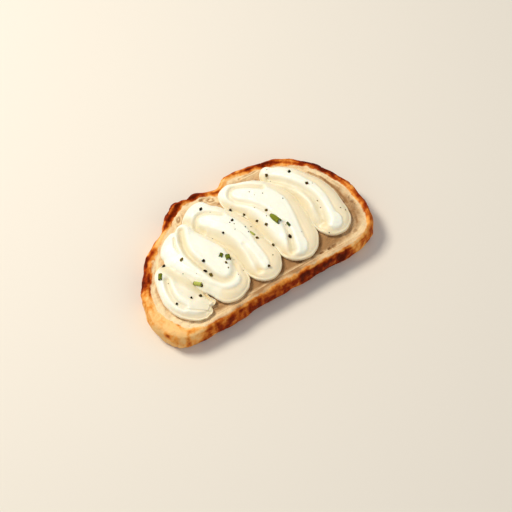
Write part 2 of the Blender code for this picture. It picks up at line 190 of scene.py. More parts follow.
# Where the crumb's thin layers always show
FOLDED = [(-67, -14, 1.2, 13), (-60, -34, 1.1, 12), (-64, 8, 1.0, 10), (64, 10, 0.8, 12)]
# Whorls where the dough was folded: place on the plan, radius across, radius along, and bearing
WHORLS = [(-6, 31.5, 2.6, 5.0, -30), (-30, 30.5, 2.4, 4.2, 60), (24, 34.5, 1.8, 9.0, -4)]

# A curl's lip and dome, how far it sinks into the crumb, its lumps and strokes, and their noises: the
# size of the largest lumps and the octaves
LIP_HEIGHT = 2.4
LIP_TUCK = 1.5
DOME_POWER = 2.7
DOME_ROUNDNESS = 1 / 1.7
CURL_SINK = 0.25
EDGE_LUMP = 0.35
TOP_LUMP = 0.20
STROKE_DEPTH = 0.09
STROKE_SPACING = 0.8
STROKE_BEND = 1.5
BEND_LENGTH = 16.0
EDGE_LUMPS = (7.0, 3)
TOP_LUMPS = (9.0, 3)
APRON_LUMPS = (12.0, 2)
TORN_LUMPS = (1.8, 2)
# The torn near tip of the left curl, the flap beside it, and how much painted warm shade the cheese has
# round the tip and on every lip
TORN_TIP = (-44, -33)
TORN_REACH = 4.0
TORN_DEPTH = 0.5
TIP_FLAP = (-40.2, -28.5)
TIP_SHADE = 0.9
TIP_REACH = 12.0
LIP_SHADE = 0.35
# The way that the spoon left each curl, the way that its near end points, and the step down to the
# apron that the spoon drew out. An apron's own pair of numbers is its width beside the curl and round
# its near end.
SPOON_WAY = (0.6, -0.8)
NEAR_WAY = (-0.35, -0.94)
APRON_STEP = 0.9

# Each curl: stations from its far end to its near end (place on the plan, half-width to the west,
# half-width to the east, crest height as a share of CURL_HEIGHT), lengths of its far and near caps,
# knobs of its edge (place, how far, how wide), grooves of its top (path, half-width at the start and
# the end, depth at the start and the end), and the neighbour that lies on its edge
CURLS = {
    "cheese_curl_1": {
        "stations": [(34.5, 26.2, 7, 5.5, 0.66), (43, 18, 12, 7.6, 0.88), (50, 7.5, 14, 8.5, 0.95),
                     (53.5, -6, 15.5, 10.4, 0.96), (53.3, -19.5, 14, 11.0, 0.9)],
        "caps": (6, 13.5),
        "knobs": [(40, 29, -0.6, 4), (63, 6, 0.5, 5)],
        "grooves": [
            ([(32.2, 23.3), (39, 16), (44.8, 7.2), (47.8, -1.7), (48.3, -9), (46.9, -15.5), (45.3, -20.6)],
             (1.2, 3.7), (1.0, 2.6)),
        ],
        "apron": (9.4, 2.8),
        "over": "cheese_curl_2",
    },
    "cheese_curl_2": {
        "stations": [(8, 25, 12, 9, 0.72), (19, 17, 18, 12, 0.95), (24.5, 5, 19.5, 15, 1.0),
                     (26, -8, 19, 14.5, 0.98), (25.2, -21.5, 14.5, 14, 0.9)],
        "caps": (9.5, 14.5),
        "knobs": [(-3, 31, 1.2, 5), (13, 36, -0.8, 4)],
        "grooves": [
            ([(18.6, -27.5), (20.6, -22), (22.3, -16.8), (23.2, -10)], (2.2, 1.5), (2.5, 0.9)),
            ([(20.5, -4), (16.6, 6.5), (11, 14.5), (5.6, 20.5), (4.6, 25.5), (8.8, 28.8), (16, 26), (25, 19)],
             (1.6, 1.6), (0.9, 1.7)),
        ],
        "apron": (9.8, 2.8),
        "over": "cheese_curl_3",
    },
    "cheese_curl_3": {
        "stations": [(-20, 22.5, 14, 12, 0.74), (-10.5, 13, 15, 11, 0.95), (-4, 1, 16, 11.5, 1.0),
                     (-1.5, -11, 14, 10.5, 0.97), (-1, -23.5, 12.5, 12, 0.9)],
        "caps": (9.5, 12.5),
        "knobs": [(-12, 31, 0.8, 4), (-29, 26.5, 0.8, 4)],
        "grooves": [
            ([(-22.5, 13), (-24, 18.5), (-20.6, 23.2), (-14.4, 22.4), (-6.5, 16)], (1.5, 1.4), (1.8, 1.2)),
            ([(-6.2, -9), (-5.7, -18), (-6, -28)], (1.2, 2.0), (0.5, 1.2)),
        ],
        "apron": (8.8, 6.0),
        "over": "cheese_curl_4",
    },
    "cheese_curl_4": {
        "stations": [(-37, 14, 15.5, 11, 0.80), (-34.7, 4, 19, 15.3, 1.0), (-31, -8, 17.5, 18, 1.0),
                     (-28, -18, 15, 16, 0.96), (-26.5, -25, 12.5, 13.5, 0.9)],
        "caps": (10, 12),
        "knobs": [(-30, 24.5, 3.2, 5), (-37.5, 24.5, -1.4, 2.2), (-53, 14, 0.8, 4), (-54, 6.5, 1.7, 4)],
        "grooves": [
            ([(-33.8, 21), (-37, 13.5), (-38.6, 5), (-37.2, -3.5), (-35, -10), (-32.8, -17),
              (-29, -22.6), (-24.2, -23.8), (-20.3, -21.2), (-18.2, -17)], (2.1, 2.0), (3.0, 1.1)),
            ([(-40.5, 18), (-42.6, 13), (-43, 7.5)], (0.8, 0.8), (1.2, 0.8)),
        ],
        "apron": (6.0, 7.4),
        "over": None,
    },
    "cheese_curl_5": {
        "stations": [(-55.4, -1, 9.2, 12, 0.80), (-56, -11.5, 11.6, 14, 0.9), (-53.6, -20, 13, 13, 0.86),
                     (-49, -26.5, 11.5, 10, 0.70), (-44.8, -30.8, 8.2, 5.5, 0.50)],
        "caps": (8.7, 2.6),
        "knobs": [(-44.6, -35.2, 1.7, 2.4), (-40.8, -30.2, 2.0, 2.0), (-43.2, -32.4, -1.4, 1.2),
                  (-66, 0, 0.5, 3)],
        "grooves": [
            ([(-58.6, -4), (-60.4, -9), (-61.2, -14.5), (-60.8, -20), (-58.6, -25)], (2.0, 1.8), (2.0, 1.0)),
            ([(-54.6, -9), (-53.6, -16), (-50, -22)], (2.6, 2.8), (0.5, 0.7)),
            ([(-58, -27), (-55, -29), (-50.6, -31.8), (-45.6, -34.9)], (0.4, 0.45), (0.25, 0.55)),
        ],
        "apron": (2.2, 4.2),
        "over": "cheese_curl_4",
    },
}
DIP_DEPTH = 2.0
DIP_WIDTH = 4.0

# Coarse pepper on the plan, curl by curl from the right, its radii, and the fine specks between it: how
# many, their radii, the part of the plan they are drawn in, and the least rise of the cheese's normal
PEPPER = [
    (45.6, 19.2), (50, 5.8), (32.4, 25.6),
    (18.6, 3.6), (6.2, 10.2), (0.2, 17), (10.4, 1.4), (13.4, -4.4), (21.8, -18.8), (10.4, -17.4),
    (-3.5, 8.7), (-12.6, 4.7), (3.7, -9.2), (-0.5, -29.3), (-15.8, 26.5),
    (-44, 2.4), (-54.6, 6.4), (-33.2, -5.6), (-35.7, -11.3), (-33.7, -15.3), (-42, -18), (-21.9, -14),
    (-46.2, -23.5), (-51.8, -22), (-61.3, -20.6),
]
PEPPER_RADII = (0.95, 1.3)
SPECK_COUNT = 34
SPECK_RADII = (0.28, 0.5)
SPECK_REACH = ((-68, 66), (-37, 35))
LEAST_RISE = 0.75
PEPPER_SEED = 7
# A grain as shares of its radius: how far its flat sides lie from its middle, its roughness, its noise's
# size and seed, its length, width and height, and how high its middle lies over the cheese
FACET_REACH = (0.55, 0.85)
GRAIN_ROUGHNESS = 0.10
GRAIN_LUMPS = (0.5, 5)
GRAIN_LONG = (1.0, 1.35)
GRAIN_WIDE = (0.8, 1.0)
GRAIN_HIGH = 0.85
GRAIN_STAND = 0.1
# Chopped chives: place on the plan, length, bearing in degrees from +X, radius, and how pale
CHIVES = [
    (20, -4.6, 8.0, -81, 1.7, 0.6), (25, -12, 3.0, -85, 0.7, 0.3), (2.7, -5.2, 3.4, -62, 0.65, 1.0),
    (-22, -8, 2.6, 40, 1.0, 0.45), (-19, -11.3, 3.2, 75, 1.4, 0.5), (-43.4, -15.7, 5.4, -38, 1.1, 1.0),
    (-60.9, 0, 4.2, 58, 1.1, 0.5),
]
CHIVE_AROUND = 20
CHIVE_ALONG = 9
# A stem as shares of its radius: its wall, width and height, the slant of its cuts, how far it bends, and
# how high its middle lies over the cheese
CHIVE_WALL = 0.34
CHIVE_WIDE = 1.12
CHIVE_HIGH = 0.86
CHIVE_SLANT = 0.4
CHIVE_BEND = 0.35
CHIVE_STAND = 0.35

# Colours in linear light: ramps as places from 0 to 1 with their colours, and single ones
CRUST_COLOURS = [(0.0, (0.98, 0.57, 0.21)), (0.25, (0.91, 0.37, 0.070)), (0.5, (0.60, 0.14, 0.013)),
                 (0.75, (0.30, 0.029, 0.002)), (1.0, (0.11, 0.010, 0.001))]
CRUMB_COLOURS = [(0.0, (0.90, 0.70, 0.41)), (0.35, (0.79, 0.56, 0.30)), (0.7, (0.59, 0.37, 0.18)),
                 (1.0, (0.38, 0.20, 0.08))]
PEPPER_COLOURS = [(0.0, (0.007, 0.004, 0.001)), (0.4, (0.022, 0.011, 0.002)),
                  (0.7, (0.095, 0.058, 0.008)), (1.0, (0.27, 0.20, 0.045))]
# The chives' dark end is also the painted shade inside each stem
CHIVE_COLOURS = [(0.0, (0.010, 0.018, 0.001)), (0.3, (0.045, 0.065, 0.002)),
                 (0.6, (0.19, 0.205, 0.008)), (1.0, (0.48, 0.49, 0.10))]
CREAM = (0.94, 0.905, 0.735, 1)
# Warm painted shade of the cheese, on aprons, lips and the torn tip and in grooves
WARM_SHADE_CREAM = (0.94, 0.715, 0.385, 1)
# Darker painted shade of the cheese's grooves and of the dips under a neighbour
DARK_SHADE_CREAM = (0.62, 0.60, 0.42, 1)
FLOOR_COLOUR = (0.80, 0.725, 0.605, 1)
FLOOR_SIZE = 20
FLOOR_GAP = 0.0002
SKY_COLOUR = (0.79, 0.87, 1.0, 1)
SKY_STRENGTH = 0.47
# Soft lights: name, way towards it from the toast, distance, size, power and colour
LIGHTS = [("key", (-0.36, 0.55, 1.0), 1.1, 0.32, 9.9, (1.0, 0.95, 0.87)),
          ("fill", (0.5, -0.9, 0.8), 1.4, 1.2, 2.9, (1.0, 0.94, 0.84))]

# How finely the surfaces are made
PLAN_STEPS = 16
BREAD_AROUND = 860
TOP_RINGS = 44
SECTION_STEPS = 4
CURL_SIDE_STEPS = 32
CURL_CAP_STEPS = 44
CURL_TOP_RINGS = 52
GROOVE_STEPS = 20
PRESS_STEPS = (12, 16)
WELD_DISTANCE = 1e-6

# The view: how high and how far round in degrees, its size and scale, the lens, and what it is aimed at
VIEW_ELEVATION = 66.0
VIEW_AZIMUTH = -32.0
PICTURE_PIXELS = 512
MILLIMETRES_PER_PIXEL = 0.6243
LENS = 100.0
SENSOR = 36.0
AIM = (-1.2, -16.4, 17.5)
CLIP_REACH = (0.01, 20)


def smooth_path(points, steps, closed=False):
    """Catmull-Rom curve through the rows of points, with steps samples from each row to the next.

    Between rows b and c, with a before and d after, it is half of
    2b + (c - a)s + (2a - 5b + 4c - d)s^2 + (3b - a - 3c + d)s^3, for s from 0 to 1.
    """
    rows = np.array(points, float)
    if closed:
        rows = np.vstack([rows[-1:], rows, rows[:2]])
    else:
        rows = np.vstack([2 * rows[0] - rows[1], rows, 2 * rows[-1] - rows[-2]])
    share = (np.arange(steps) / steps)[:, None]
    spans = []
    for a, b, c, d in zip(rows, rows[1:], rows[2:], rows[3:]):
        bend = (c - a) * share + (2 * a - 5 * b + 4 * c - d) * share**2 + (3 * b - a - 3 * c + d) * share**3
        spans.append(b + bend / 2)
    if not closed:
        spans.append(rows[-2:-1])
    return np.vstack(spans)


def even_loop(points, count):
    """The closed line through points, sampled at count places an equal way apart."""
    closed = np.vstack([points, points[:1]])
    way = np.concatenate([[0], np.cumsum(np.linalg.norm(np.diff(closed, axis=0), axis=1))])
    places = np.arange(count) / count * way[-1]
    return np.column_stack([np.interp(places, way, closed[:, 0]), np.interp(places, way, closed[:, 1])])


def plan_to_slice(points):
    """Centres places of the drawn plan on the slice and fits them to its drawn length and depth."""
    edge = smooth_path(CRUST_PLAN, PLAN_STEPS, closed=True)
    middle = (edge.min(axis=0) + edge.max(axis=0)) / 2
    scale = np.array([PLAN_LENGTH, PLAN_DEPTH]) / np.ptp(edge, axis=0)
    return (np.asarray(points, float) - middle) * scale


def blend(low, high, values):
    """0 up to low, 1 from high, and a smooth S between: 3t^2 - 2t^3 of the share t of the way."""
    share = np.clip((values - low) / (high - low), 0, 1)
    return share * share * (3 - 2 * share)


def bell(places, middle, reach):
    """1 at a middle drawn on the plan, falling as exp(-(distance / reach)^2) at the places."""
    gap = np.linalg.norm(places[..., :2] - plan_to_slice(middle), axis=-1)
    return np.exp(-(gap / reach) ** 2)


def knob_push(places, knobs):
    """The sum of the knobs' heights, each spread as a bell about its place."""
    total = np.zeros(places.shape[:-1])
    for x, y, height, reach in knobs:
        total += height * bell(places, (x, y), reach)
    return total


def corner_values(i, j, k, seed):
    """A fixed value from 0 to 1 for each whole-number corner of space, by mixing the bits of i, j and k."""
    mixed = (i * 73856093) ^ (j * 19349663) ^ (k * 83492791) ^ (seed * 961748927)
    mixed = (mixed ^ (mixed >> 13)) & 0xFFFFFFFF
    mixed = (mixed * 1274126177) & 0xFFFFFFFF
    return ((mixed ^ (mixed >> 16)) & 0xFFFFFF) / 0xFFFFFF


def ripple(points, size, seed):
    """Smooth noise from -1 to 1 with lumps about size across: lattice values blended in each cube."""
    place = points / size
    low = np.floor(place).astype(np.int64)
    share = place - low
    share = share * share * (3 - 2 * share)
    total = np.zeros(points.shape[:-1])
    for corner in np.ndindex(2, 2, 2):
        weight = np.prod(np.where(corner, share, 1 - share), axis=-1)
        i, j, k = np.moveaxis(low + corner, -1, 0)
        total += weight * corner_values(i, j, k, seed)
    return 2 * total - 1


def rough(points, size, octaves, seed):
    """Layered noise: each octave of ripple has half the size and half the height of the one before."""
    total = np.zeros(points.shape[:-1])
    for octave in range(octaves):
        total += ripple(points, size / 2**octave, seed + octave) / 2**octave
    return total


def bubbles(points, size, seed, smallest, largest):
    """How far each point lies inside a bubble, from 0 outside to 1 at its middle.

    Each cube of a lattice holds one bubble at a random place, with a radius between smallest and
    largest cubes, and most radii near the smallest: 1 - distance / radius, the greatest of all near.
    """
    place = points / size
    low = np.floor(place).astype(np.int64)
    inside = np.zeros(points.shape[:-1])
    for offset in np.ndindex(3, 3, 3):
        i, j, k = np.moveaxis(low + offset - 1, -1, 0)
        gap = np.sqrt(sum(
            (place[..., axis] - whole - corner_values(i, j, k, seed + axis)) ** 2
            for axis, whole in enumerate((i, j, k))))
        radius = smallest + (largest - smallest) * corner_values(i, j, k, seed + 3) ** 3
        inside = np.maximum(inside, 1 - gap / radius)
    return inside


def crags(share, height):
    """Ups and downs of the crust's side: waves round the slice that lean as they go up."""
    total = np.zeros(np.broadcast(share, height).shape)
    for around, up, phase, depth in CRAGS:
        total += depth * np.sin(2 * math.pi * (around * share + up * height / PLAN_THICKNESS + phase))
    return total


def crumb_dents(places):
    """How deep the crumb is dented: where the crests of two crossing waves meet."""
    crossing = np.ones(places.shape[:-1])
    for direction, length in CRUMB_WAVES:
        crossing *= np.sin(2 * math.pi * (places[..., :2] @ direction) / length)
    return CRUMB_DENT * np.clip(crossing, 0, 1)


def oval_radius(places, x, y, across, along, bearing):
    """How far the places lie from the middle of an ellipse, as a share of the way to its edge."""
    offset = places[..., :2] - plan_to_slice((x, y))
    turn = math.radians(bearing)
    lengthways = offset @ (math.cos(turn), math.sin(turn)) / along
    sideways = offset @ (-math.sin(turn), math.cos(turn)) / across
    return np.sqrt(lengthways**2 + sideways**2)


def open_pores(places):
    """How deep the large named pores are at the places: ellipses with steep walls and flat floors."""
    total = np.zeros(places.shape[:-1])
    for *oval, depth in OPEN_PORES:
        total = np.maximum(total, depth * (1 - blend(0.55, 1.1, oval_radius(places, *oval))))
    return total


def nearest(places, path):
    """For each of the places, its distance from the path, and how far along the path that is."""
    gap = np.full(places.shape[:-1], np.inf)
    way = np.zeros(places.shape[:-1])
    for number, point in enumerate(path):
        distance = np.linalg.norm(places - point, axis=-1)
        closer = distance < gap
        gap = np.where(closer, distance, gap)
        way = np.where(closer, number / (len(path) - 1), way)
    return gap, way


def crust_side(edge, outward):
    """The side's rings, from the underside up and over the rim, their insets, and strokes along the rim.

    The plan's edge is moved outwards by crags, knobs, lumps and blisters, and inwards by cracks and
    by the section's inset. The rim is lifted at the burst ear, and swells and dips elsewhere.
    """
    share = np.arange(BREAD_AROUND) / BREAD_AROUND
    inset, height = smooth_path(CRUST_SECTION, SECTION_STEPS).T[:, :, None]
    burst = bell(edge, EAR_PLACE, EAR_REACH)
    rim = np.clip((height - SHOULDER_FROM) / (PLAN_THICKNESS - SHOULDER_FROM), 0, 1)
    spread = inset * (1 + knob_push(edge, BROAD_SHOULDERS) * rim)
    side_fade = np.exp(-spread / 2.5) * np.clip(height / 2, 0, 1)

    flat = np.broadcast_to(edge[None], (len(height), BREAD_AROUND, 2))
    solid = np.dstack([flat, np.broadcast_to(height, flat.shape[:2])])
    lumps = SKIN_HEIGHT * rough(solid, *SKIN_LUMPS) * (1 + 1.8 * burst)
    lumps += BURST_HEIGHT * burst * rough(solid, *BURST_LUMPS)
    blisters = BLISTER_HEIGHT * np.sqrt(np.clip(bubbles(solid * (1, 1, 0.8), *BLISTERS), 0, 1))
    cracks = CRACK_DEPTH * (1 - blend(0.0, 0.10, np.abs(ripple(solid * (1, 1, 0.45), *CRACK_LINES))))
    cracks *= blend(0.0, 0.5, ripple(solid, *CRACKED_PARTS))
    push = (knob_push(edge, EDGE_KNOBS) + crags(share, height) + lumps + blisters - cracks) * side_fade
    ring = flat + outward * (push - spread)[..., None]
    over_rim = np.exp(-np.clip(inset - RIM_INSET, 0, None) ** 2)
    crest = np.dstack([ring, solid[..., 2]])
    swell = RIM_HEIGHT * (rough(crest, *RIM_LUMPS) + ripple(crest, *RIM_SWELLS)) * rim
    side = np.dstack([ring, height + (EAR_LIFT * burst * over_rim + swell) * rim])
    strokes = ripple(np.dstack([flat * 0.16, inset + np.zeros(flat.shape[:2])]), *RIM_LINES)
    return side, inset, strokes


def crumb_layers(top, edge, depth):
    """The thin layers that run along the crust, from -1 to 1, with whorls, and where they show."""
    shown = blend(-0.4, 0.3, ripple(top, *LAYERED_PARTS) + knob_push(top, FOLDED))
    along = np.broadcast_to(edge[None] * 0.12, depth.shape + (2,))
    layered = np.dstack([along, depth / 1.3 + ripple(top, *LAYER_BENDS)])
    layers = ripple(layered, *LAYER_LINES) * (1 - blend(5.0, 12.0, depth)) * shown
    for whorl in WHORLS:
        radius = oval_radius(top, *whorl)
        rings = np.cos(7.5 * radius + 2 * ripple(top, *WHORL_BENDS))
        layers += (rings - layers) * blend(1.25, 0.8, radius)
    return layers, shown


def crumb_top(side, edge):
    """The crumb's rings, how far in from the crust they lie, how open its pores are, and its brown.

    The rings shrink the side's last one towards the middle. They sink into dents, pores, the crack
    and the gaps between layers, all of which fade out at the crust and at the middle. Its brown holds
    painted shadow of the curls and painted shade in the crack as well as toast.
    """
    towards = np.concatenate([np.linspace(0, 0.30, TOP_RINGS)[1:], np.linspace(0.30, 1, 12)[1:]])
    towards = towards[:, None, None]
    flat_middle = np.array([0, 0, CRUMB_HEIGHT])
    top = (side[-1] - flat_middle) * (1 - towards) + flat_middle
    depth = np.linalg.norm(side[-1, :, :2], axis=-1) * towards[..., 0]
    layers, shown = crumb_layers(top, edge, depth)
    pores = np.clip(bubbles(top * (0.7, 1.15, 0.6), *CRUMB_PORES) * PORE_STEEPNESS, 0, 1) * (1 - 0.7 * shown)
    large_pores = open_pores(top)
    gap, _ = nearest(top[..., :2], plan_to_slice(smooth_path(CREASE, CREASE_STEPS)))
    crease = np.exp(-(gap / CREASE_WIDTH) ** 2)
    grain = GRAIN_DEPTH * rough(top, *CRUMB_GRAIN) * (1 - 0.6 * pores)
    fade = blend(1.0, 0.93, towards[..., 0]) * blend(0.0, 0.03, towards[..., 0])
    sunk = PORE_DEPTH * pores * pores + grain + large_pores + CREASE_DEPTH * crease - LAYER_HEIGHT * layers
    top[..., 2] -= (crumb_dents(top) + sunk) * fade
    brown = MIDDLE_BROWN * blend(1.0, 6.0, depth + 2.0 * rough(top, *CRUMB_CLOUDS)) - LAYER_PALER * layers
    # The crack is browned as painted shade; the patches hold painted shadow of the curls as well as toast
    brown += CREASE_SHADE * crease + knob_push(top, CRUMB_TOAST_AND_SHADOW) * blend(-2.0, 3.0, depth)
    return top, depth, np.clip(pores + large_pores, 0, 1) * fade, brown


def underside(side):
    """The underside's rings out from the middle, how far in each lies, and how open its pores are."""
    towards = np.concatenate([np.linspace(0, 0.2, 9)[1:], np.linspace(0.2, 1, 9)[1:]])
    towards = towards[::-1, None, None]
    under = side[0] * (1 - towards)
    pores = np.clip(bubbles(under * (1, 1, 0.6), *UNDER_PORES) * PORE_STEEPNESS, 0, 1)
    fade = blend(1.0, 0.9, towards[..., 0]) * blend(0.0, 0.03, towards[..., 0])
    under[..., 2] = UNDER_PORE_DEPTH * pores * fade
    return under, 4.2 + 40 * towards[..., 0], pores * fade


def crust_marks(rings, inset, outward):
    """How much crust each place is, by its inset and a ragged edge, how baked, and how far on the rim.

    The bake is the middle value with patches, clouds and strokes, darker along the outer edge. It
    goes over to the pale rim's own value where the rim's top is paler.
    """
    height = rings[..., 2]
    front = blend(0.6, 0.95, -outward[:, 1]) * blend(9.0, 14.0, height)
    pale_rim = np.clip(front + knob_push(rings, PALE_RIMS), 0, 1)
    ragged = 0.9 * rough(rings, *RAGGED_EDGE) - knob_push(rings, CRUST_WIDER) + FRONT_NARROWER * front
    strokes = UPRIGHT_BAKE * rough(rings * (1, 1, 0.22), *UPRIGHT_STROKES)
    strokes += SHORT_BAKE * rough(rings * (1, 1, 0.7), *SHORT_STROKES)
    baked = BAKE_MIDDLE + knob_push(rings, BAKE_PATCHES) + CLOUD_BAKE * rough(rings, *BAKE_CLOUDS)
    baked += strokes * blend(6.0, 2.5, inset) * blend(18.5, 16.0, height)
    edge_line = np.exp(-((inset + ragged - 1.3) / 1.2) ** 2) - 0.75 * blend(2.2, 3.8, inset + ragged)
    baked += EDGE_BAKE * edge_line * (1 - pale_rim) * blend(13.0, 16.0, height)
    on_rim = blend(15.2, 17.0, height)
    baked += PALE_RIM_SHARE * pale_rim * on_rim * (PALE_RIM_BAKE - baked)
    corner = bell(rings, PALE_CORNER, CORNER_REACH)
    baked += (FLECK_BAKE * rough(rings, *RIM_FLECKS) - CORNER_PALER * corner) * on_rim
    return 1 - blend(3.3, 5.3, inset + ragged), baked, on_rim


def bread_surface():
    """The slice's rings, and what each point is: how much crust, how baked, how brown, and how porous."""
    edge = plan_to_slice(even_loop(smooth_path(CRUST_PLAN, PLAN_STEPS, closed=True), BREAD_AROUND))
    along = np.roll(edge, -1, axis=0) - np.roll(edge, 1, axis=0)
    along /= np.linalg.norm(along, axis=1)[:, None]
    outward = np.column_stack([along[:, 1], -along[:, 0]])
    side, inset, strokes = crust_side(edge, outward)
    top, depth, pores, brown = crumb_top(side, edge)
    under, under_inset, under_pores = underside(side)

    rings = np.concatenate([under, side, top])
    insets = np.concatenate([
        np.broadcast_to(under_inset, under.shape[:2]), np.broadcast_to(inset, side.shape[:2]),
        CRUST_SECTION[-1][0] + depth])
    crust, baked, on_rim = crust_marks(rings, insets, outward)
    side_rows = slice(len(under), len(under) + len(side))
    baked[side_rows] += RIM_DASHES * strokes * on_rim[side_rows]
    # The crumb share of the rim takes the same patches, painted shadow of the curls included
    side_brown = SIDE_BROWN + RIM_BROWNER * knob_push(side, CRUMB_TOAST_AND_SHADOW) + RIM_STROKES * strokes
    return rings, {
        "crust": crust, "baked": baked,
        "pore": np.concatenate([under_pores, np.zeros(side.shape[:2]), pores]),
        "brown": np.concatenate([np.full(under.shape[:2], UNDER_BROWN), side_brown, brown])}


def curl_frame(curl, side_steps, cap_steps):
    """Points on the spine and the reach from each to the widest line, once round the curl.

    The way round is anticlockwise: down the west side, round the near end, up the east side and
    round the far end. A cap's reach is cos(a) times the half-width across and sin(a) times the cap's
    length ahead, for a from 0 to half a turn. The third result is the crest's height.
    """
    rows = smooth_path(curl["stations"], side_steps)
    spine, west, east, crest = plan_to_slice(rows[:, :2]), rows[:, 2], rows[:, 3], rows[:, 4]
    along = np.gradient(spine, axis=0)
    along /= np.linalg.norm(along, axis=1)[:, None]
    to_west = np.column_stack([along[:, 1], -along[:, 0]])
    turn = np.arange(1, cap_steps) / cap_steps * math.pi
    across, ahead = np.cos(turn)[:, None], np.sin(turn)[:, None]
    far_cap, near_cap = curl["caps"]
    near_reach = np.where(across > 0, west[-1], east[-1]) * across * to_west[-1]
    near_reach = near_reach + near_cap * ahead * along[-1]
    far_reach = -np.where(across > 0, east[0], west[0]) * across * to_west[0] - far_cap * ahead * along[0]
    ends = np.ones((cap_steps - 1, 1))
    base = np.vstack([spine, ends * spine[-1], spine[::-1], ends * spine[0]])
    reach = np.vstack([to_west * west[:, None], near_reach, -(to_west * east[:, None])[::-1], far_reach])
    crests = np.concatenate([crest, ends[:, 0] * crest[-1], crest[::-1], ends[:, 0] * crest[0]])
    push = knob_push(base + reach, curl["knobs"])
    reach = reach * (1 + push / np.linalg.norm(reach, axis=1))[:, None]
    return base, reach, crests * CURL_HEIGHT


def hollows(curl, places):
    """How far the curl's top is pushed down, and how deep in a groove each place is, from 0 to 1.

    A groove is a bell across its path, depth * exp(-(gap / width)^2.5), with a low ridge along each
    side. The neighbour that lies on the curl presses a wider bell along its own edge. The cheese
    colours the depth share of both as warm and darker painted shade.
    """
    push = np.zeros(places.shape[:-1])
    depth_share = np.zeros(places.shape[:-1])
    for path, widths, depths in curl["grooves"]:
        gap, way = nearest(places, smooth_path(plan_to_slice(path), GROOVE_STEPS))
        width = widths[0] + (widths[1] - widths[0]) * way
        depth = depths[0] + (depths[1] - depths[0]) * way
        furrow = np.exp(-(gap / width) ** 2.5)
        ridge = np.exp(-((gap - 1.6 * width - 0.6) / (0.5 * width + 0.5)) ** 2)
        push += depth * (furrow - 0.16 * ridge)
        depth_share = np.maximum(depth_share, furrow * np.clip(depth / 2.2, 0, 1))
    if curl["over"]:
        base, reach, _ = curl_frame(CURLS[curl["over"]], *PRESS_STEPS)
        gap, _ = nearest(places, base + reach)
        press = np.exp(-(gap / DIP_WIDTH) ** 2.5)
        push += DIP_DEPTH * press
        depth_share = np.maximum(depth_share, 0.9 * press)
    return push, depth_share


def curl_foot(base, reach, width):
    """The rings of a curl's flat foot, and of its lip up to the widest line: a quarter ellipse."""
    floor = CRUMB_HEIGHT - CURL_SINK
    foot_shares = np.linspace(0, 1, 6)[:-1, None, None]
    foot = base + reach * (1 - LIP_TUCK / width) * foot_shares
    turn = np.linspace(0, math.pi / 2, 9)[:-1, None, None]
    lip = base + reach * (1 - LIP_TUCK * (1 - np.sin(turn)) / width)
    lip_height = floor + (LIP_HEIGHT + CURL_SINK) * (1 - np.cos(turn))
    return np.concatenate([
        np.dstack([foot, np.full(foot.shape[:2], floor)]),
        np.dstack([lip, np.broadcast_to(lip_height[..., 0], lip.shape[:2])])])


